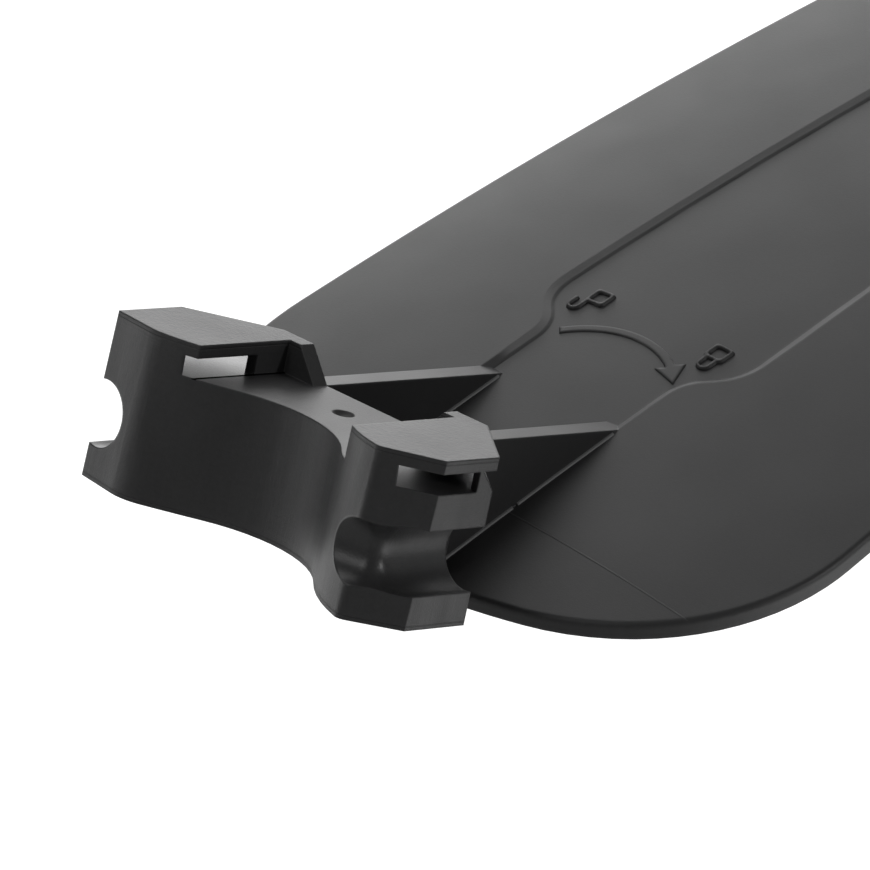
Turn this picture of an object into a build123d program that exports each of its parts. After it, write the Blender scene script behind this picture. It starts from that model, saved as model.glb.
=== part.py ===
from build123d import *

import math
import os

os.makedirs("parts", exist_ok=True)

# A one-piece moulded mudguard: a bracket that is pushed between the two rails of a bicycle saddle
# and turned until they snap into its side grooves, two gusset ribs, and a crowned blade behind.
# The origin is midway between the rail axes, level with the bracket's front corners.
# +X is to the right, +Y points back along the rails and +Z is up.

# Saddle rails
rail_diameter = 7.0
rail_spacing = 44.4
rail_height = 6.9  # rail axes above the bracket's underside
rail_lip = 0.9  # the bracket's outer faces lie this far outside the rail axes

# Bracket heights, from its underside up
shelf_height = 14.0
slot_height = 2.1
plate_thickness = 1.4

# Bracket plan
bracket_depth = 15.3
back_width = 29.6
side_depth = 8.6  # end of the outer side faces, where the back chamfers begin
bay_width = 23.8  # open bay between the two top plates

# Hollow front that clears the seat post
hollow_radius = 14.0
hollow_depth = 5.1
hollow_shift = 0.6
hollow_left_sweep = 35.0
hollow_right_sweep = 45.0

# Jaws beside the hollow: they lean forward towards the underside. The left front is nearly square,
# the right front is cut away so that it clears its rail as the bracket is turned.
left_tip_radius = 5.0
right_tip_radius = 1.2
left_tip_inset_low = 7.3
left_tip_inset_high = 6.1
left_tip_reach_low = 2.1
left_tip_reach_high = 0.8
left_corner_reach_low = 0.8
left_corner_reach_high = 0.2
right_tip_inset_low = 4.6
right_tip_inset_high = 5.3
right_tip_reach_low = 4.6
right_tip_reach_high = 3.0
right_corner_setback_low = 0.2
right_corner_setback_high = 1.2

# Relief in the right jaw, where its rail swings in: a second groove that turns away from the first one
turn_angle = 75.0
turn_edge = -1.2  # the two grooves' walls would meet here
turn_ridge_radius = 1.5  # their rounded meeting

# Slots under the plates, and the posts behind the slots that carry the plates
left_slot_front = 0.0
left_slot_skew = -8.0  # degrees that the slot's front wall turns forward on its way out
right_slot_front = -0.6
right_slot_skew = 8.0
slot_back_inner = 9.2
slot_back_outer = 6.3
post_wall = 1.1  # between its posts each slot runs on, out through the back
post_undercut = 1.4  # each post leans in by this much under its plate
nose_wall = 1.9  # fin from the post's back into the bay
nose_reach = 1.5  # reach of the fin into the bay, at the plate
nose_flare = 3.0  # further reach of the fin, down at the shelf

# Neck that joins the jaws to the blade, below the shelf's overhang
neck_width = 26.0

# Dished mark on the shelf where the mould was fed
feed_mark_diameter = 2.4
feed_mark_depth = 0.6
feed_mark_shift = 0.2
feed_mark_setback = 5.1  # from the bracket's back

# Gusset ribs
rib_gap = 15.2
rib_thickness = 2.5
rib_embed = 0.3

# Blade: crowned across its width and gently arched along its length
blade_rise = 30.7  # slope of its crest at the bracket's back
blade_root_height = 0.05  # its crest above the bracket's underside there
blade_length = 210.0
blade_thickness = 1.8
blade_arch = 800.0  # radius along the crest
crown_radius = 180.0
nose_lead = 1.0  # the front edge starts this far in front of the bracket's back
nose_radius = 68.0
nose_width = 43.2
shoulder_radius = 27.1
side_taper = 3.4
rim_radius = 0.6

# Shallow panel down the middle of the blade: it starts between the ribs and jogs out behind them
panel_depth = 0.55
panel_bevel_height = 0.5  # its wall is bevelled over this much of its depth
panel_bevel_width = 0.95
panel_tuck = 0.05  # the bevel starts this far inside the ribs' outer faces
panel_start = 1.5
panel_width = 27.6
panel_taper = 1.8
panel_jog_start = 38.6
panel_jog_end = 43.0
panel_jog_radius = 6.0
panel_margin = 6.0

# Working values
cut_clearance = 5.0
rail_radius = rail_diameter / 2
half_width = rail_spacing / 2 + rail_lip
bay_half = bay_width / 2
underside = -rail_height
shelf = underside + shelf_height
roof = shelf + slot_height
top = roof + plate_thickness
hollow_centre = (-hollow_shift, hollow_depth - hollow_radius)
rib_outer = rib_gap / 2 + rib_thickness
rise = math.radians(blade_rise)
blade_root = Vector(0, bracket_depth, underside + blade_root_height)
blade_plane = Plane(origin=blade_root, x_dir=(1, 0, 0), z_dir=(0, -math.sin(rise), math.cos(rise)))
arch_centre = blade_root - blade_plane.z_dir * blade_arch
arch_axis = Axis(arch_centre, (-1, 0, 0))
arch_sweep = math.degrees(math.asin(blade_length / blade_arch) + 2 * cut_clearance / blade_arch)
arch_start = rise + cut_clearance / blade_arch
section_plane = Plane(
    origin=arch_centre + Vector(0, -math.sin(arch_start), math.cos(arch_start)) * blade_arch,
    x_dir=(-1, 0, 0),
    z_dir=(0, math.cos(arch_start), math.sin(arch_start)),
)
section_width = nose_width + 2 * shoulder_radius + 2 * cut_clearance
back_chamfer = Vector(back_width / 2 - half_width, bracket_depth - side_depth)


def mirrored(point):
    """The point on the other side of the centre line."""
    return Vector(-point.X, point.Y)


def arc_drop(radius, half_span):
    """How far a circular arc of this radius falls below its crest at this distance from its middle."""
    return radius - math.sqrt(radius**2 - half_span**2)


def bracket_outline(left_inset, left_reach, left_corner, right_inset, right_reach, right_corner):
    """The bracket seen from above at one height."""
    left_tip = (left_inset - half_width, -left_reach)
    right_tip = (half_width - right_inset, -right_reach)
    sweep = hollow_right_sweep + hollow_left_sweep
    with BuildSketch() as outline:
        with BuildLine():
            hollow = CenterArc(hollow_centre, hollow_radius, 90 - hollow_right_sweep, sweep)
            TangentArc(hollow @ 1, left_tip, tangent=hollow % 1)
            TangentArc(hollow @ 0, right_tip, tangent=-(hollow % 0))
            Polyline(
                left_tip,
                (-half_width, -left_corner),
                (-half_width, side_depth),
                (-back_width / 2, bracket_depth),
                (back_width / 2, bracket_depth),
                (half_width, side_depth),
                (half_width, right_corner),
                right_tip,
            )
        make_face()
        for tip, radius in ((left_tip, left_tip_radius), (right_tip, right_tip_radius)):
            fillet(outline.vertices().sort_by_distance(tip)[0], radius)
    return outline.sketch


def slot_outline(side, front, skew):
    """A slot seen from above, open to the bay and to the outer side face."""
    inner = bay_half - cut_clearance
    outer = half_width + cut_clearance
    forward = math.tan(math.radians(skew))
    back_slope = (slot_back_inner - slot_back_outer) / (half_width - bay_half)
    points = [
        (inner, front + (bay_half - inner) * forward),
        (outer, front + (bay_half - outer) * forward),
        (outer, slot_back_inner + (bay_half - outer) * back_slope),
        (inner, slot_back_inner + (bay_half - inner) * back_slope),
    ]
    with BuildSketch() as outline:
        with BuildLine():
            Polyline([(side * x, y) for x, y in points], close=True)
        make_face()
    return outline.sketch


def crown_band(above, below):
    """Section across the blade between two surfaces, above and below its crowned upper face."""
    with BuildSketch() as band:
        with Locations((0, -crown_radius)):
            Circle(crown_radius + above)
            Circle(crown_radius - below, mode=Mode.SUBTRACT)
        Rectangle(section_width, crown_radius, mode=Mode.INTERSECT)
    return band.sketch


def tail_point(side_point, side_normal, end):
    """Where a tapered side runs into the round tail, which touches both sides and stops at the end."""
    centre = (end - side_point.dot(side_normal)) / (1 - side_normal.Y)
    return Vector(0, centre) + side_normal * (end - centre)


def blade_outline():
    """The blade's rim seen square to its root: a shallow nose, round shoulders, tapered sides, a round tail."""
    nose_angle = math.asin(nose_width / 2 / nose_radius)
    taper = math.radians(side_taper)
    side_normal = Vector(math.cos(taper), math.sin(taper))
    nose_end = Vector(nose_width / 2, arc_drop(nose_radius, nose_width / 2) - nose_lead)
    shoulder_centre = nose_end + Vector(-math.sin(nose_angle), math.cos(nose_angle)) * shoulder_radius
    shoulder_end = shoulder_centre + side_normal * shoulder_radius
    tail_start = tail_point(shoulder_end, side_normal, blade_length)
    with BuildSketch() as outline:
        with BuildLine():
            ThreePointArc(mirrored(nose_end), (0, -nose_lead), nose_end)
            TangentArc(nose_end, shoulder_end, tangent=(math.cos(nose_angle), math.sin(nose_angle)))
            TangentArc(
                mirrored(nose_end), mirrored(shoulder_end), tangent=(-math.cos(nose_angle), math.sin(nose_angle))
            )
            Line(shoulder_end, tail_start)
            Line(mirrored(shoulder_end), mirrored(tail_start))
            ThreePointArc(tail_start, (0, blade_length), mirrored(tail_start))
        make_face()
    return outline.sketch


def panel_outline():
    """The edge of the panel's floor, seen square to the blade's root."""
    taper = math.radians(panel_taper)
    neck = rib_outer - panel_tuck - panel_bevel_width
    end = blade_length - panel_margin
    jog_start = Vector(neck, panel_jog_start)
    jog_end = Vector(panel_width / 2, panel_jog_end)
    tail_start = tail_point(jog_end, Vector(math.cos(taper), math.sin(taper)), end)
    with BuildSketch() as outline:
        with BuildLine():
            Polyline(
                mirrored(tail_start),
                mirrored(jog_end),
                mirrored(jog_start),
                (-neck, panel_start),
                (neck, panel_start),
                jog_start,
                jog_end,
                tail_start,
            )
            ThreePointArc(tail_start, (0, end), mirrored(tail_start))
        make_face()
        for corner in (jog_start, jog_end, mirrored(jog_start), mirrored(jog_end)):
            fillet(outline.vertices().sort_by_distance(corner)[0], panel_jog_radius)
    return outline.sketch


def crest_place(height, depth):
    """How far back a line, sunk below the blade's crest by this depth, reaches this height."""
    return arch_centre.Y - math.sqrt((blade_arch - depth) ** 2 - (height - arch_centre.Z) ** 2)


# What is cut away for the panel, down to a floor that keeps the blade's crown and arch
with BuildPart() as panel_cut:
    with BuildSketch(section_plane):
        add(crown_band(cut_clearance, panel_depth))
    revolve(axis=arch_axis, revolution_arc=arch_sweep)
    with BuildSketch(blade_plane.offset(cut_clearance)):
        add(panel_outline())
    extrude(amount=-crown_radius, mode=Mode.INTERSECT)

with BuildPart() as mudguard:
    # Blade: a crowned and arched sheet, trimmed to its outline, with the panel and a rounded upper rim
    with BuildSketch(section_plane):
        add(crown_band(0, blade_thickness))
    revolve(axis=arch_axis, revolution_arc=arch_sweep)
    with BuildSketch(blade_plane.offset(cut_clearance)):
        add(blade_outline())
    extrude(amount=-crown_radius, mode=Mode.INTERSECT)
    add(panel_cut.part, mode=Mode.SUBTRACT)
    add(mudguard.part.fix(), mode=Mode.REPLACE)
    upper_face = mudguard.faces().filter_by(lambda face: face.inner_wires())[0]
    chamfer(upper_face.inner_wires()[0].edges(), panel_bevel_width, panel_bevel_height, reference=upper_face)
    upper_face = mudguard.faces().filter_by(lambda face: face.inner_wires())[0]
    fillet(upper_face.outer_wire().edges(), rim_radius)

    # Gusset ribs: from the bracket's back at shelf height to where that height meets the blade
    rib_root = panel_depth + arc_drop(crown_radius, rib_outer) + rib_embed
    rib_foot = crest_place(underside, rib_root)
    rib_middle = crest_place((underside + shelf) / 2, rib_root)
    rib_end = crest_place(shelf, rib_root)
    rib_front = bracket_depth - nose_wall
    for inner_face in (rib_gap / 2, -rib_outer):
        with BuildSketch(Plane.YZ.offset(inner_face)):
            with BuildLine():
                ThreePointArc((rib_foot, underside), (rib_middle, (underside + shelf) / 2), (rib_end, shelf))
                Polyline((rib_end, shelf), (rib_front, shelf), (rib_front, underside), (rib_foot, underside))
            make_face()
        extrude(amount=rib_thickness)

    # Bracket body, full height
    with BuildSketch(Plane.XY.offset(underside)):
        add(
            bracket_outline(
                left_tip_inset_low,
                left_tip_reach_low,
                left_corner_reach_low,
                right_tip_inset_low,
                right_tip_reach_low,
                right_corner_setback_low,
            )
        )
    with BuildSketch(Plane.XY.offset(top)):
        add(
            bracket_outline(
                left_tip_inset_high,
                left_tip_reach_high,
                left_corner_reach_high,
                right_tip_inset_high,
                right_tip_reach_high,
                right_corner_setback_high,
            )
        )
    loft(ruled=True)

    # Open bay above the shelf, and the slots under the plates
    with BuildSketch(Plane.XY.offset(shelf)):
        with Locations((0, bracket_depth)):
            Rectangle(bay_width, 2 * bracket_depth, align=(Align.CENTER, Align.MAX))
    extrude(amount=slot_height + plate_thickness + cut_clearance, mode=Mode.SUBTRACT)
    with BuildSketch(Plane.XY.offset(shelf)):
        add(slot_outline(1, right_slot_front, right_slot_skew))
        add(slot_outline(-1, left_slot_front, left_slot_skew))
        for side in (1, -1):
            with Locations((side * (bay_half + half_width) / 2, slot_back_outer)):
                Rectangle(half_width - bay_half - 2 * post_wall, bracket_depth, align=(Align.CENTER, Align.MIN))
    extrude(amount=slot_height, mode=Mode.SUBTRACT)

    # Feed mark: a dish cut by a ball
    feed_ball = (feed_mark_diameter**2 / 4 + feed_mark_depth**2) / (2 * feed_mark_depth)
    with Locations((feed_mark_shift, bracket_depth - feed_mark_setback, shelf + feed_ball - feed_mark_depth)):
        Sphere(feed_ball, mode=Mode.SUBTRACT)

    # Fins from the posts into the bay, spreading down to the ribs
    with BuildSketch(Plane.XZ.offset(-bracket_depth)):
        for side in (1, -1):
            with BuildLine():
                Polyline(
                    (side * (bay_half + nose_wall), shelf),
                    (side * (bay_half - nose_reach - nose_flare), shelf),
                    (side * (bay_half - nose_reach), top),
                    (side * (bay_half + nose_wall), top),
                    close=True,
                )
            make_face()
    extrude(amount=nose_wall)

    # Undercut of the posts along the back chamfers
    for side in (1, -1):
        direction = Vector(side * back_chamfer.X, back_chamfer.Y).normalized()
        outward = Vector(side * direction.Y, -side * direction.X)
        corner = Vector(side * half_width, side_depth, roof)
        with BuildSketch(Plane(origin=corner - direction * cut_clearance, x_dir=outward, z_dir=direction)):
            with BuildLine():
                Polyline(
                    (cut_clearance, 0),
                    (-post_undercut, 0),
                    (0, side * slot_height),
                    (cut_clearance, side * slot_height),
                    close=True,
                )
            make_face()
        extrude(amount=back_chamfer.length + cut_clearance, mode=Mode.SUBTRACT)

    # Square backs of the jaws, beside the neck and below the shelf's overhang
    with BuildSketch(Plane.XY.offset(underside)):
        with Locations((0, side_depth)):
            Rectangle(2 * (half_width + cut_clearance), bracket_depth - side_depth, align=(Align.CENTER, Align.MIN))
            Rectangle(neck_width, bracket_depth, align=(Align.CENTER, Align.MIN), mode=Mode.SUBTRACT)
    extrude(amount=rail_height + rail_radius, mode=Mode.SUBTRACT)

    # Grooves that seat the rails, and the relief where the right rail swings in
    with BuildSketch(Plane.XZ.offset(-bracket_depth)):
        with GridLocations(rail_spacing, 0, 2, 1):
            Circle(rail_radius)
    extrude(amount=bracket_depth + right_tip_reach_low + cut_clearance, mode=Mode.SUBTRACT)
    turn = math.radians(turn_angle)
    relief_direction = Vector(-math.sin(turn), -math.cos(turn))
    bend_corner = Vector(rail_spacing / 2, turn_edge - rail_radius * math.tan(turn / 2))
    with BuildLine() as swing_path:
        Polyline(bend_corner + relief_direction * half_width, bend_corner, (rail_spacing / 2, bracket_depth))
        fillet(swing_path.vertices().sort_by_distance(bend_corner)[0], rail_radius + turn_ridge_radius)
    with BuildSketch(Plane(origin=swing_path.line @ 0, x_dir=(0, 0, 1), z_dir=swing_path.line % 0)):
        Circle(rail_radius)
    sweep(mode=Mode.SUBTRACT)

mudguard.part.label = "mudguard"
export_step(mudguard.part, "parts/mudguard.step")
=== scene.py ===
"""Looks of a clip-on bicycle mudguard: its moulded plastic, its moulded signs, the light and the camera."""

import math
from types import SimpleNamespace

import bmesh
import bpy
from mathutils import Matrix, Vector
from mathutils.bvhtree import BVHTree


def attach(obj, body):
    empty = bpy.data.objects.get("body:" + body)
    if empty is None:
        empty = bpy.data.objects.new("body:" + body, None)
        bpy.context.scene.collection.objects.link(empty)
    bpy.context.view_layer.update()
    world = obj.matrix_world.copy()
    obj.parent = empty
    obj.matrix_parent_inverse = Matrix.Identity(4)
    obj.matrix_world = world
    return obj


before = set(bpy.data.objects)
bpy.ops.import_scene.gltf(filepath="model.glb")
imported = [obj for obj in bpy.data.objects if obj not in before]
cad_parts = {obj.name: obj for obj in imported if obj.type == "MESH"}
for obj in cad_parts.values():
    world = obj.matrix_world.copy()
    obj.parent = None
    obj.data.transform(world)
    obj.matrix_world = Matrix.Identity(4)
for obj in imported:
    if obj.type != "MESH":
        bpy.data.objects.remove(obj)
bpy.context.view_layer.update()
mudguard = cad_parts["mudguard"]
surface = BVHTree.FromObject(mudguard, bpy.context.evaluated_depsgraph_get())

MM = 0.001

# The blade: an arched and crowned sheet that leaves the bracket's back at a slope.
BRACKET_BACK = 15.3 * MM
BLADE_ROOT = Vector((0, BRACKET_BACK, -6.85 * MM))
BLADE_RISE = math.radians(30.7)
BLADE_ARCH = 800 * MM
BLADE_CROWN = 180 * MM
ARCH_CENTRE = BLADE_ROOT + BLADE_ARCH * Vector((0, math.sin(BLADE_RISE), -math.cos(BLADE_RISE)))
PROBE_HEIGHT = 5 * MM  # rays that look for the blade start this far above it

# The bracket: the levels of its faces, the bay between its plates, and the rails that it seats.
SHELF = 7.1 * MM
PLATE_TOP = 10.6 * MM
BRACKET_UNDERSIDE = -6.9 * MM
BAY_HALF = 11.9 * MM
RAIL_HALF = 22.2 * MM
RAIL_RADIUS = 3.5 * MM
RELIEF_BEND = -3.886 * MM
RELIEF_ANGLE = math.radians(75)

# The turn arrow, in millimetres across the blade and along it from the bracket's back.
ARROW_CENTRE = Vector((0.40, 29.85))
ARROW_RADIUS = 11.85
ARROW_WIDTH = 1.3
ARROW_START = math.radians(135.5)
ARROW_NECK = math.radians(59.5)
ARROW_HEAD_WIDTH = 3.45
ARROW_HEAD_LENGTH = 3.3
ARROW_LEAN = math.radians(11)

# The padlock signs at the arrow's two ends, in millimetres, drawn with one stroke width.
LOCK_STROKE = 0.62
LOCK_BODY = Vector((2.75, 2.6))
LOCK_CORNER = 0.5
LOCK_WINDOW_CORNER = 0.25
LOCK_SHACKLE = Vector((2.0, 1.9))
OPEN_LOCK = Vector((-8.4, 43.5))
OPEN_SHACKLE_SHIFT = -1.65
CLOSED_LOCK = Vector((9.1, 43.25))
CLOSED_SHACKLE_SHIFT = 0.0

# The signs' relief: how high it stands, how far its walls lean in, and how deep it is rooted in the blade.
ARROW_HEIGHT = 0.15 * MM
LOCK_HEIGHT = 0.33 * MM
SIGN_SLOPE = 0.19
SIGN_ROOT = 0.12 * MM
SHARP_ANGLE = math.radians(35)

# Beads in the corners where the ribs' right faces meet the blade: name, the face's place, start and end along
# the blade, in millimetres. The section is drawn from the rib's face, across the blade and up from it.
BEADS = (
    ("rib_bead_left", -7.6, 1.2, 30.0),
    ("rib_bead_right_front", 10.1, 1.2, 13.6),
    ("rib_bead_right_back", 10.1, 13.85, 30.0),
)
BEAD_SECTION = (
    (-0.2, 0.24), (0.0, 0.24), (0.13, 0.19), (0.21, 0.11),
    (0.25, 0.0), (0.25, -0.15), (-0.2, -0.15),
)
BEAD_OFFSET = 0.15
BEAD_STEP = 0.4
BEAD_FADE = 0.3 * MM

# The plastic's colour, from its darkest grain to its palest, a paler copy painted on the beads as a
# highlight, and near black painted as shade along the left slot's lip.
PLASTIC_COLOURS = ((0.021, 0.021, 0.0215, 1.0), (0.06, 0.06, 0.061, 1.0))
BEAD_HIGHLIGHT_COLOURS = ((0.13, 0.13, 0.131, 1.0), (0.22, 0.22, 0.221, 1.0))
LIP_SHADE_COLOUR = (0.004, 0.004, 0.004, 1.0)

# Regions of the part. Each pair is where a mask begins and where it is whole.
BRACKET_SPAN = (BRACKET_BACK + 0.4 * MM, BRACKET_BACK)
BLADE_SPAN = (16.2 * MM, 17.5 * MM)
RIB_SIDES = (10.6 * MM, 11.2 * MM)
RIB_ENDS = (42 * MM, 45 * MM)
PANEL_SIDES = (21 * MM, 20 * MM)
SLOT_SIDES = (BAY_HALF, BAY_HALF + 0.1 * MM)
RELIEF_WALL = (RAIL_RADIUS + 0.25 * MM, RAIL_RADIUS + 0.1 * MM)
RELIEF_SPAN = (1.5 * MM, -0.5 * MM)
TO_LEFT = (1 * MM, -1 * MM)
TO_RIGHT = (-1 * MM, 1 * MM)
PLATE_RIM = (PLATE_TOP - 1.6 * MM, PLATE_TOP - 0.9 * MM)
FOOT_RIM = (BRACKET_UNDERSIDE + 1.4 * MM, BRACKET_UNDERSIDE + 0.8 * MM)
UPRIGHT_FACING = (0.5, 0.2)
LEVEL_FACING = (0.5, 0.9)
WING_FACING = (0.4, 0.6)

# Bands about a level or a line: how far from it a mask is whole, and where it ends.
SHELF_BAND = (0.05 * MM, 0.1 * MM)
PLATE_BAND = (0.1 * MM, 0.2 * MM)
PARTING_BAND = (0.03 * MM, 0.1 * MM)
WITNESS_BAND = (0.04 * MM, 0.14 * MM)
LIP_BAND = (0.18 * MM, 0.28 * MM)
LIP_LEVEL_BAND = (0.05 * MM, 0.15 * MM)

# Soft edges, and the panel's bevelled walls, told by how far they lean from the blade.
BRACKET_SOFTNESS = 0.28 * MM
BLADE_SOFTNESS = 0.5 * MM
BEVEL_SAMPLES = 8
EDGE_TURN = (0.99, 0.8)
WALL_LEAN = (0.99, 0.95)
WALL_LIMIT = (0.5, 0.7)
STEP_FADE = 0.85
STEP_DEPTHS = (-0.42 * MM, -0.28 * MM)

# Marks that the mould left on the part, and where shade is painted along the left slot's lip.
WITNESS_ALONG = 12.5
WITNESS_SPAN = (10.4 * MM, 34.4 * MM)
WITNESS_BLUR = 3 * MM
PARTING_INSET = 0.42 * MM
LIP_SPAN = (-0.5 * MM, 13.5 * MM)
LIP_BLUR = 0.3 * MM

# Noise in the plastic: its blobs' width, its detail and its roughness. Some of it is drawn out one way.
GRAIN = (0.22 * MM, 3.0, 0.6)
SPECKLE = (0.45 * MM, 2.0, 0.5)
CLOUDS = (9 * MM, 3.0, 0.5)
FLOW = (45 * MM, 1.0, 0.5)
STREAKS = (0.3 * MM, 2.0, 0.7)
BANDS = (2.2 * MM, 3.0, 0.6)
SCORES = (0.7 * MM, 3.0, 0.7)
DRAWN_LEVEL = (0.03, 0.03, 1.0)
DRAWN_DOWN = (1.0, 1.0, 0.06)

# Depth of the grain on the blade, the bracket and the plates' tops, and of the streaks off and on the rims.
BLADE_GRAIN = 0.45
BRACKET_GRAIN = 1.0
PLATE_GRAIN = 2.2
FACE_STREAKS = 0.35
RIM_STREAKS = 1.0

# Bumps: strength and depth.
GRAIN_BUMP = (0.6, 0.04 * MM)
LINE_BUMP = (0.5, 0.06 * MM)
WITNESS_BUMP = (0.6, 0.06 * MM)

# How much each thing lightens the plastic.
BLADE_SPECKLE = 0.15
BRACKET_SPECKLE = 0.30
CLOUD_TINT = 0.12
# Pale bracket edges: part rubbed wear, part painted highlight.
EDGE_WEAR_AND_HIGHLIGHT_TINT = 0.55
BAND_TINT = 0.22
WITNESS_TINT = 0.35
# The panel's right wall: a painted highlight.
WALL_HIGHLIGHT_TINT = 0.5
STREAK_TINT = 0.12
PARTING_TINT = -0.4

# The plastic's roughness, and how much each thing adds to it.
PLAIN_ROUGHNESS = 0.38
UPRIGHT_ROUGHNESS = 0.46
CLOUD_ROUGHNESS = 0.10
FLOW_ROUGHNESS = 0.08
BAND_ROUGHNESS = -0.16
RELIEF_ROUGHNESS = -0.12
RIGHT_SLOT_POLISH = 0.05
LEFT_SLOT_POLISH = 0.17
PLASTIC_IOR = 1.5
PLASTIC_SHINE = 0.5

# The room: a pale floor, an even light that shows white to the camera, and the lamps, each with its name,
# place, size and watts.
FLOOR_HEIGHT = -60 * MM
FLOOR_HALF = 6.0
FLOOR_GREY = (0.5, 0.5, 0.5, 1.0)
FLOOR_SHOWN = 0.8
WHITE = (1, 1, 1, 1)
ROOM_LIGHT = 0.12
ROOM_SHOWN = 1.0
LAMP_TARGET = Vector((0, 0.05, 0.0))
SOFT_LAMPS = (
    ("back_softbox", Vector((-0.58, 0.66, 0.29)), (0.9, 0.5), 3.6),
    ("top_softbox", Vector((-0.38, 0.17, 0.68)), (0.6, 0.6), 1.6),
    ("right_lamp", Vector((0.717, 0.27, 0.40)), (0.06, 0.06), 1.1),
    ("front_lamp", Vector((-0.056, -0.614, 0.44)), (0.25, 0.25), 0.8),
)
GLOW_HEIGHT = -20 * MM
FLOOR_LAMPS = (
    ("right_floor_glow", Vector((0.32, 0.30, GLOW_HEIGHT)), (0.5, 0.5), 2.6),
    ("left_floor_glow", Vector((-0.36, -0.12, GLOW_HEIGHT)), (0.4, 0.4), 2.2),
)

# The photograph's camera, in the part's frame.
CAMERA_PLACE = Vector((0.519371, -0.557057, 0.218629))
CAMERA_RIGHT = Vector((0.692351, 0.692799, 0.201694))
CAMERA_UP = Vector((-0.328946, 0.054259, 0.942789))
CAMERA_LENS = 331.0345
CAMERA_SENSOR = 36
CAMERA_CLIP = 0.05


class Shader:
    """The node tree of a material or a world, with short names for the sums that its masks are made of."""

    def __init__(self, owner):
        owner.use_nodes = True
        self.tree = owner.node_tree
        self.tree.nodes.clear()

    def node(self, kind, inputs=None, **settings):
        """A node: settings are its properties, inputs its sockets, each a value or another node's socket."""
        made = self.tree.nodes.new(kind)
        for name, value in settings.items():
            setattr(made, name, value)
        for name, value in (inputs or {}).items():
            if isinstance(value, bpy.types.NodeSocket):
                self.tree.links.new(value, made.inputs[name])
            else:
                made.inputs[name].default_value = value
        return made

    def calc(self, operation, a, b=0.0):
        """The socket of one sum."""
        return self.node("ShaderNodeMath", {0: a, 1: b}, operation=operation).outputs[0]

    def total(self, *shares):
        """The sum of sockets, each times its share."""
        result = 0.0
        for value, share in shares:
            result = self.calc("ADD", result, self.calc("MULTIPLY", value, share))
        return result

    def both(self, *masks):
        """Where all the masks hold."""
        joined = masks[0]
        for mask in masks[1:]:
            joined = self.calc("MULTIPLY", joined, mask)
        return joined

    def either(self, one, two):
        """Where one mask or the other holds."""
        return self.calc("MAXIMUM", one, two)

    def ramp(self, value, low, high, to_low=0.0, to_high=1.0):
        """A smooth step of a socket from low to high."""
        inputs = {"Value": value, "From Min": low, "From Max": high, "To Min": to_low, "To Max": to_high}
        return self.node("ShaderNodeMapRange", inputs, interpolation_type="SMOOTHSTEP").outputs["Result"]

    def blend(self, mask, low, high):
        """One value off a mask and another on it."""
        return self.ramp(mask, 0.0, 1.0, low, high)

    def near(self, value, middle, inner, outer):
        """One where a socket lies close to a value, falling to nought."""
        return self.ramp(self.calc("ABSOLUTE", self.calc("SUBTRACT", value, middle)), outer, inner)

    def within(self, value, low, high, blur):
        """One between two values of a socket, with blurred ends."""
        return self.near(value, (low + high) / 2, (high - low) / 2, (high - low) / 2 + blur)

    def reach(self, a, b):
        """Length of a pair of sockets."""
        return self.calc("SQRT", self.calc("ADD", self.calc("MULTIPLY", a, a), self.calc("MULTIPLY", b, b)))

    def noise(self, place, size, detail, roughness):
        """Noise whose blobs are about that many metres wide."""
        inputs = {"Vector": place, "Scale": 1 / size, "Detail": detail, "Roughness": roughness}
        return self.node("ShaderNodeTexNoise", inputs).outputs["Fac"]

    def vector(self, operation, a, b=(0.0, 0.0, 0.0)):
        """The result of one sum of vectors."""
        made = self.node("ShaderNodeVectorMath", {0: a, 1: b}, operation=operation)
        return made.outputs["Value" if operation == "DOT_PRODUCT" else "Vector"]

    def scaled(self, a, factor):
        """A vector made longer or shorter by a socket."""
        return self.node("ShaderNodeVectorMath", {0: a, "Scale": factor}, operation="SCALE").outputs["Vector"]

    def parts(self, a):
        """The three sockets of a vector."""
        return self.node("ShaderNodeSeparateXYZ", {"Vector": a}).outputs

    def bump(self, height, normal, strength, depth):
        """A normal that is tilted by a height."""
        inputs = {"Strength": strength, "Distance": depth, "Height": height, "Normal": normal}
        return self.node("ShaderNodeBump", inputs).outputs["Normal"]

    def colour(self, mask, low, high):
        """One colour off a mask and another on it."""
        inputs = {"Factor": mask, "A": low, "B": high}
        return self.node("ShaderNodeMix", inputs, data_type="RGBA").outputs["Result"]


def blade_point(across, along, height=0.0):
    """Point over the blade's outer face for millimetres across it and along it, raised by metres."""
    angle = BLADE_RISE - along * MM / BLADE_ARCH
    x = across * MM
    reach = BLADE_ARCH - BLADE_CROWN + math.sqrt((BLADE_CROWN + height) ** 2 - x * x)
    return ARCH_CENTRE + Vector((x, -reach * math.sin(angle), reach * math.cos(angle)))


def blade_normal(across, along):
    """Direction straight out of the blade at a place on it."""
    return (blade_point(across, along, 1.0 * MM) - blade_point(across, along)).normalized()


def on_blade(across, along, height):
    """Point above the part's own surface, found by looking straight down on the blade."""
    out = blade_normal(across, along)
    hit = surface.ray_cast(blade_point(across, along, PROBE_HEIGHT), -out)[0]
    return hit + out * height


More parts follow.
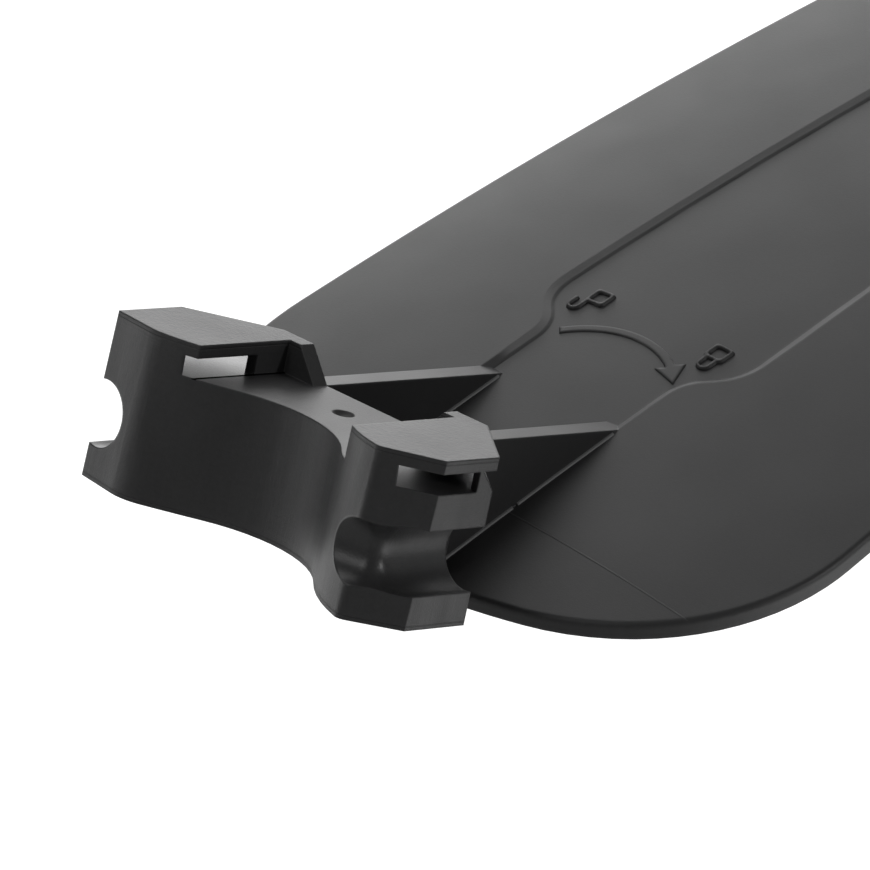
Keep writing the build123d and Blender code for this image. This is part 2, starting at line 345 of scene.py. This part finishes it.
def part_regions(shade):
    """Where on the part a point lies: its place, the way its face looks, and masks of the regions."""
    at = SimpleNamespace()
    at.place = shade.node("ShaderNodeTexCoord").outputs["Object"]
    at.x, at.y, at.z = shade.parts(at.place)
    at.side = shade.calc("ABSOLUTE", at.x)
    geometry = shade.node("ShaderNodeNewGeometry").outputs
    at.normal = geometry["Normal"]
    at.face_normal = geometry["True Normal"]
    at.facing = shade.parts(at.face_normal)["Z"]

    at.bracket = shade.ramp(at.y, *BRACKET_SPAN)
    at.behind_ribs = shade.ramp(at.y, *RIB_ENDS)
    clear_of_ribs = shade.either(shade.ramp(at.side, *RIB_SIDES), at.behind_ribs)
    at.blade = shade.both(shade.ramp(at.y, *BLADE_SPAN), clear_of_ribs)
    at.upright = shade.both(shade.ramp(shade.calc("ABSOLUTE", at.facing), *UPRIGHT_FACING), at.bracket)
    level = shade.both(shade.ramp(at.facing, *LEVEL_FACING), at.bracket)
    at.plate_top = shade.both(shade.near(at.z, PLATE_TOP, *PLATE_BAND), level)
    at.slot_floor = shade.both(shade.near(at.z, SHELF, *SHELF_BAND), shade.ramp(at.side, *SLOT_SIDES), level)
    at.relief = rail_relief(shade, at)
    return at


def rail_relief(shade, at):
    """Mask of the rail groove's front and of the relief that turns away from it."""
    from_groove = shade.calc("SUBTRACT", at.side, RAIL_HALF)
    across = shade.calc("MULTIPLY", shade.calc("SUBTRACT", at.x, RAIL_HALF), math.cos(RELIEF_ANGLE))
    along = shade.calc("MULTIPLY", shade.calc("SUBTRACT", at.y, RELIEF_BEND), math.sin(RELIEF_ANGLE))
    from_relief = shade.calc("SUBTRACT", across, along)
    nearest = shade.calc("MINIMUM", shade.reach(from_groove, at.z), shade.reach(from_relief, at.z))
    return shade.both(shade.ramp(nearest, *RELIEF_WALL), shade.ramp(at.y, *RELIEF_SPAN))


def panel_walls(shade, at):
    """The blade's own normal, and masks of the panel's left wall and of its right wall."""
    from_centre = shade.vector("SUBTRACT", at.place, ARCH_CENTRE)
    outward = shade.vector("NORMALIZE", shade.vector("MULTIPLY", from_centre, (0.0, 1.0, 1.0)))
    crown = shade.vector("MULTIPLY", at.place, (1 / BLADE_CROWN, 0.0, 0.0))
    outward = shade.vector("NORMALIZE", shade.vector("ADD", outward, crown))
    lean = shade.vector("DOT_PRODUCT", at.face_normal, outward)
    wall = shade.both(shade.ramp(lean, *WALL_LEAN), shade.ramp(lean, *WALL_LIMIT), at.behind_ribs,
                      shade.ramp(at.side, *PANEL_SIDES))
    centred = shade.parts(from_centre)
    crest = shade.calc("SUBTRACT", shade.reach(centred["Y"], centred["Z"]), BLADE_ARCH - BLADE_CROWN)
    height = shade.calc("SUBTRACT", shade.reach(crest, at.x), BLADE_CROWN)
    left = shade.both(wall, shade.ramp(at.x, *TO_LEFT, 0.0, STEP_FADE), shade.ramp(height, *STEP_DEPTHS))
    right = shade.both(wall, shade.ramp(at.x, *TO_RIGHT))
    return outward, left, right


def mould_grain(shade, at):
    """Spark-eroded grain, and streaks and scores on the bracket's upright faces."""
    grain = SimpleNamespace()
    grain.fine = shade.noise(at.place, *GRAIN)
    grain.speckle = shade.noise(at.place, *SPECKLE)
    grain.clouds = shade.noise(at.place, *CLOUDS)
    grain.flow = shade.noise(at.place, *FLOW)
    rims = shade.either(shade.ramp(at.z, *PLATE_RIM), shade.ramp(at.z, *FOOT_RIM))
    streak_depth = shade.both(at.upright, shade.blend(rims, FACE_STREAKS, RIM_STREAKS))
    level = shade.vector("MULTIPLY", at.place, DRAWN_LEVEL)
    grain.streaks = shade.both(shade.noise(level, *STREAKS), streak_depth)
    drawn = shade.vector("MULTIPLY", at.place, DRAWN_DOWN)
    grain.bands = shade.both(shade.noise(drawn, *BANDS), at.upright)
    grain.scores = shade.both(shade.noise(drawn, *SCORES), at.upright)
    return grain


def mould_marks(shade, at):
    """Parting lines round the bracket, a line across the right wing, and a line of painted shade along the
    left slot's lip.
    """
    marks = SimpleNamespace()
    top_line = shade.near(at.z, PLATE_TOP - PARTING_INSET, *PARTING_BAND)
    foot_line = shade.near(at.z, BRACKET_UNDERSIDE + PARTING_INSET, *PARTING_BAND)
    marks.parting = shade.both(shade.either(top_line, foot_line), at.upright)
    angle = BLADE_RISE - WITNESS_ALONG * MM / BLADE_ARCH
    blade_run = (0, math.cos(angle), math.sin(angle))
    from_line = shade.vector("SUBTRACT", at.place, blade_point(0, WITNESS_ALONG))
    along = shade.vector("DOT_PRODUCT", from_line, blade_run)
    marks.witness = shade.both(shade.near(along, 0.0, *WITNESS_BAND),
                               shade.within(at.x, *WITNESS_SPAN, WITNESS_BLUR),
                               shade.ramp(at.facing, *WING_FACING))
    # Painted shade: a near-black line without shine along the left slot's lip at the shelf.
    marks.lip = shade.both(shade.near(at.x, -BAY_HALF, *LIP_BAND), shade.near(at.z, SHELF, *LIP_LEVEL_BAND),
                           shade.within(at.y, *LIP_SPAN, LIP_BLUR))
    return marks


def skin_normal(shade, at, grain, marks, soft):
    """The normal with the grain, the streaks and lines, and the witness line in it, one after another."""
    relief = shade.calc("MULTIPLY", grain.fine, shade.blend(at.bracket, BLADE_GRAIN, BRACKET_GRAIN))
    coarse = shade.both(grain.speckle, shade.blend(at.plate_top, 0.0, PLATE_GRAIN))
    grained = shade.bump(shade.calc("ADD", relief, coarse), soft, *GRAIN_BUMP)
    lines = shade.calc("ADD", shade.calc("SUBTRACT", grain.streaks, marks.parting), grain.scores)
    lined = shade.bump(lines, grained, *LINE_BUMP)
    return shade.bump(marks.witness, lined, *WITNESS_BUMP)


def skin_roughness(shade, at, grain):
    """Roughness: more on upright faces, less in the relief and on the slots' polished floors."""
    plain = shade.blend(at.upright, PLAIN_ROUGHNESS, UPRIGHT_ROUGHNESS)
    uneven = shade.total((grain.clouds, CLOUD_ROUGHNESS), (grain.flow, FLOW_ROUGHNESS),
                         (grain.bands, BAND_ROUGHNESS), (at.relief, RELIEF_ROUGHNESS))
    polish = shade.both(at.slot_floor, shade.ramp(at.x, *TO_LEFT, RIGHT_SLOT_POLISH, LEFT_SLOT_POLISH))
    return shade.calc("SUBTRACT", shade.calc("ADD", uneven, plain), polish)


def moulded_plastic(name, dark, pale):
    """Plastic from a finely eroded mould, with soft edges and the mould's own marks, pale bracket edges that
    are part rubbed wear and part painted highlight, a painted highlight on the panel's right wall, and
    painted shade along the left slot's lip.
    """
    made = bpy.data.materials.new(name)
    shade = Shader(made)
    at = part_regions(shade)
    grain = mould_grain(shade, at)
    marks = mould_marks(shade, at)

    # Edges are softer on the blade than on the bracket, and on the bracket they are painted pale, partly as
    # rubbed wear and partly as a painted highlight.
    radius = shade.blend(at.blade, BRACKET_SOFTNESS, BLADE_SOFTNESS)
    soft = shade.node("ShaderNodeBevel", {"Radius": radius}, samples=BEVEL_SAMPLES).outputs["Normal"]
    edge_wear_and_highlight = shade.both(shade.ramp(shade.vector("DOT_PRODUCT", soft, at.normal), *EDGE_TURN), at.bracket)

    # The panel's left wall runs out softly into the blade, and its right one has a painted highlight.
    outward, left_wall, highlit_right_wall = panel_walls(shade, at)
    kept = shade.calc("SUBTRACT", 1.0, left_wall)
    soft = shade.vector("ADD", shade.scaled(soft, kept), shade.scaled(outward, left_wall))
    soft = shade.vector("NORMALIZE", soft)

    # Tint: the grain and the mould's lines, with painted highlights on the bracket's edges and the panel's
    # right wall.
    tint = shade.total(
        (grain.speckle, shade.blend(at.bracket, BLADE_SPECKLE, BRACKET_SPECKLE)), (grain.clouds, CLOUD_TINT),
        (edge_wear_and_highlight, EDGE_WEAR_AND_HIGHLIGHT_TINT), (grain.bands, BAND_TINT), (marks.witness, WITNESS_TINT), (highlit_right_wall, WALL_HIGHLIGHT_TINT),
        (grain.streaks, STREAK_TINT), (marks.parting, PARTING_TINT),
    )
    # The lip along the left slot is painted near black and without shine, as shade.
    skin = shade.node("ShaderNodeBsdfPrincipled", {
        "Base Color": shade.colour(marks.lip, shade.colour(tint, dark, pale), LIP_SHADE_COLOUR),
        "Roughness": skin_roughness(shade, at, grain),
        "Normal": skin_normal(shade, at, grain, marks, soft),
        "IOR": PLASTIC_IOR,
        "Specular IOR Level": shade.blend(marks.lip, PLASTIC_SHINE, 0.0),
    })
    shade.node("ShaderNodeOutputMaterial", {"Surface": skin.outputs["BSDF"]})
    return made


def moulded_piece(name, form, finish):
    """A piece of the moulding from a finished form: smooth, with its sharp edges kept."""
    bmesh.ops.recalc_face_normals(form, faces=form.faces[:])
    mesh = bpy.data.meshes.new(name)
    form.to_mesh(mesh)
    form.free()
    for face in mesh.polygons:
        face.use_smooth = True
    mesh.set_sharp_from_angle(angle=SHARP_ANGLE)
    mesh.materials.append(finish)
    made = bpy.data.objects.new(name, mesh)
    bpy.context.scene.collection.objects.link(made)
    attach(made, "root")
    return made


def sign_wall(form, loop, sign, rise):
    """One wall of a sign round a closed loop of places. It leans to the loop's inside, or outside for -1."""
    foot = []
    lip = []
    count = len(loop)
    for i, here in enumerate(loop):
        before = (here - loop[i - 1]).normalized()
        after = (loop[(i + 1) % count] - here).normalized()
        inward = Vector((-before.y - after.y, before.x + after.x)).normalized() * sign
        top = here + inward * SIGN_SLOPE
        foot.append(form.verts.new(on_blade(here.x, here.y, -SIGN_ROOT)))
        lip.append(form.verts.new(on_blade(top.x, top.y, rise)))
    for i in range(count):
        j = (i + 1) % count
        form.faces.new((foot[i], foot[j], lip[j], lip[i]))
    return foot, lip


def raised_sign(name, outlines, rise, finish):
    """Low flat-topped closed relief on the blade. Each outline is a loop and the hole in it, or None."""
    form = bmesh.new()
    for outer, hole in outlines:
        walls = [sign_wall(form, outer, 1, rise)]
        if hole is not None:
            walls.append(sign_wall(form, hole, -1, rise))
        for rims in zip(*walls):
            bound = [form.edges.get((rim[i - 1], rim[i])) for rim in rims for i in range(len(rim))]
            bmesh.ops.triangle_fill(form, use_beauty=True, edges=bound)
    return moulded_piece(name, form, finish)


def bead(name, face, start, end, finish):
    """A thin rounded bead in a rib's corner with the blade. It stops where the rib runs out."""
    form = bmesh.new()
    rings = []
    along = start
    while along <= end:
        foot = on_blade(face + BEAD_OFFSET, along, 0.0)
        if foot.z > SHELF - BEAD_FADE:
            break
        out = blade_normal(face, along)
        ring = []
        for across, height in BEAD_SECTION:
            shift = Vector(((across - BEAD_OFFSET) * MM, 0, 0))
            ring.append(form.verts.new(foot + shift + out * height * MM))
        rings.append(ring)
        along += BEAD_STEP
    count = len(BEAD_SECTION)
    for one, two in zip(rings, rings[1:]):
        for i in range(count):
            j = (i + 1) % count
            form.faces.new((one[i], one[j], two[j], two[i]))
    form.faces.new(rings[0])
    form.faces.new(rings[-1][::-1])
    return moulded_piece(name, form, finish)


def heading(angle):
    """The unit vector at an angle."""
    return Vector((math.cos(angle), math.sin(angle)))


def arrow_outline(steps=28):
    """The curved arrow as one loop, counter-clockwise."""
    sweep = [ARROW_START + (ARROW_NECK - ARROW_START) * i / steps for i in range(steps + 1)]
    half = ARROW_WIDTH / 2
    outer = [ARROW_CENTRE + (ARROW_RADIUS + half) * heading(angle) for angle in sweep]
    inner = [ARROW_CENTRE + (ARROW_RADIUS - half) * heading(angle) for angle in sweep]
    neck = ARROW_CENTRE + ARROW_RADIUS * heading(ARROW_NECK)
    ahead = heading(ARROW_NECK - math.pi / 2 - ARROW_LEAN)
    aside = Vector((-ahead.y, ahead.x)) * ARROW_HEAD_WIDTH / 2
    head = [neck + aside, neck + ahead * ARROW_HEAD_LENGTH, neck - aside]
    return (outer + head + inner[::-1])[::-1]


def rounded_box(centre, size, radius, steps=5):
    """A rounded rectangle as one loop, counter-clockwise."""
    loop = []
    for turn, (right, back) in enumerate(((1, 1), (-1, 1), (-1, -1), (1, -1))):
        corner = Vector((right * (size.x / 2 - radius), back * (size.y / 2 - radius)))
        for i in range(steps + 1):
            loop.append(centre + corner + radius * heading(math.pi / 2 * (turn + i / steps)))
    return loop


def shackle_outline(base, size, steps=12):
    """A padlock's bow as one loop, counter-clockwise: its feet at base, its round end to the bracket."""
    outer = size.x / 2
    inner = outer - LOCK_STROKE
    straight = size.y - outer
    centre = base - Vector((0, straight))
    sweep = [math.pi + math.pi * i / steps for i in range(steps + 1)]
    far = [centre + outer * heading(angle) for angle in sweep]
    near = [centre + inner * heading(angle) for angle in sweep]
    feet = Vector((0, straight + LOCK_STROKE / 2))
    return [far[0] + feet] + far + [far[-1] + feet, near[-1] + feet] + near[::-1] + [near[0] + feet]


def padlock(name, front, shackle_shift, finish):
    """A padlock sign: a framed body with a bow in front of it."""
    body_centre = front + Vector((0, LOCK_BODY.y / 2))
    window_size = LOCK_BODY - Vector((2 * LOCK_STROKE, 2 * LOCK_STROKE))
    body = rounded_box(body_centre, LOCK_BODY, LOCK_CORNER)
    window = rounded_box(body_centre, window_size, LOCK_WINDOW_CORNER)
    bow = shackle_outline(front + Vector((shackle_shift, 0)), LOCK_SHACKLE)
    return raised_sign(name, [(body, window), (bow, None)], LOCK_HEIGHT, finish)


def lamp(name, place, target, size, power):
    """A soft rectangular lamp that looks at a target."""
    data = bpy.data.lights.new(name, "AREA")
    data.shape = "RECTANGLE"
    data.size, data.size_y = size
    data.energy = power
    made = bpy.data.objects.new(name, data)
    bpy.context.scene.collection.objects.link(made)
    made.location = place
    made.rotation_euler = (target - place).to_track_quat("-Z", "Y").to_euler()
    made.visible_camera = False
    return made


def pale_floor():
    """A large plain floor that is matt grey to the light and shows paler to the camera."""
    form = bmesh.new()
    bmesh.ops.create_grid(form, x_segments=1, y_segments=1, size=FLOOR_HALF)
    mesh = bpy.data.meshes.new("floor")
    form.to_mesh(mesh)
    form.free()
    made = bpy.data.objects.new("floor", mesh)
    made.location.z = FLOOR_HEIGHT
    bpy.context.scene.collection.objects.link(made)
    paint = bpy.data.materials.new("floor_paint")
    shade = Shader(paint)
    seen = shade.node("ShaderNodeLightPath").outputs["Is Camera Ray"]
    matt = shade.node("ShaderNodeBsdfDiffuse", {"Color": FLOOR_GREY}).outputs["BSDF"]
    shown = shade.node("ShaderNodeEmission", {"Strength": shade.calc("MULTIPLY", seen, FLOOR_SHOWN)})
    joined = shade.node("ShaderNodeAddShader", {0: matt, 1: shown.outputs["Emission"]}).outputs["Shader"]
    shade.node("ShaderNodeOutputMaterial", {"Surface": joined})
    mesh.materials.append(paint)


def studio():
    """An even dim room that shows white to the camera, four lamps on the part, and two on the floor."""
    world = bpy.data.worlds.new("studio")
    bpy.context.scene.world = world
    shade = Shader(world)
    seen = shade.node("ShaderNodeLightPath").outputs["Is Camera Ray"]
    strength = shade.blend(seen, ROOM_LIGHT, ROOM_SHOWN)
    room = shade.node("ShaderNodeBackground", {"Color": WHITE, "Strength": strength}).outputs["Background"]
    shade.node("ShaderNodeOutputWorld", {"Surface": room})
    for name, place, size, power in SOFT_LAMPS:
        lamp(name, place, LAMP_TARGET, size, power)
    for name, place, size, power in FLOOR_LAMPS:
        lamp(name, place, Vector((place.x, place.y, FLOOR_HEIGHT)), size, power)


def photo_camera():
    """The camera as it stood for the photograph."""
    data = bpy.data.cameras.new("camera")
    data.sensor_fit = "HORIZONTAL"
    data.sensor_width = CAMERA_SENSOR
    data.lens = CAMERA_LENS
    data.clip_start = CAMERA_CLIP
    made = bpy.data.objects.new("camera", data)
    bpy.context.scene.collection.objects.link(made)
    backward = CAMERA_RIGHT.cross(CAMERA_UP)
    turn = Matrix((CAMERA_RIGHT, CAMERA_UP, backward)).transposed()
    made.matrix_world = Matrix.Translation(CAMERA_PLACE) @ turn.to_4x4()
    bpy.context.scene.camera = made


plastic = moulded_plastic("moulded_plastic_finish", *PLASTIC_COLOURS)
# A paler copy of the plastic: its pale colour is a painted highlight on the beads in the ribs' corners.
bead_highlight_plastic = moulded_plastic("painted_bead_highlight_finish", *BEAD_HIGHLIGHT_COLOURS)
mudguard.data.materials.clear()
mudguard.data.materials.append(plastic)

raised_sign("turn_arrow", [(arrow_outline(), None)], ARROW_HEIGHT, plastic)
padlock("open_lock", OPEN_LOCK, OPEN_SHACKLE_SHIFT, plastic)
padlock("closed_lock", CLOSED_LOCK, CLOSED_SHACKLE_SHIFT, plastic)
# The beads wear the paler copy, a painted highlight along the ribs' corners.
for bead_name, bead_face, bead_start, bead_end in BEADS:
    bead(bead_name, bead_face, bead_start, bead_end, bead_highlight_plastic)

pale_floor()
studio()
photo_camera()
bpy.context.scene.view_settings.view_transform = "Standard"
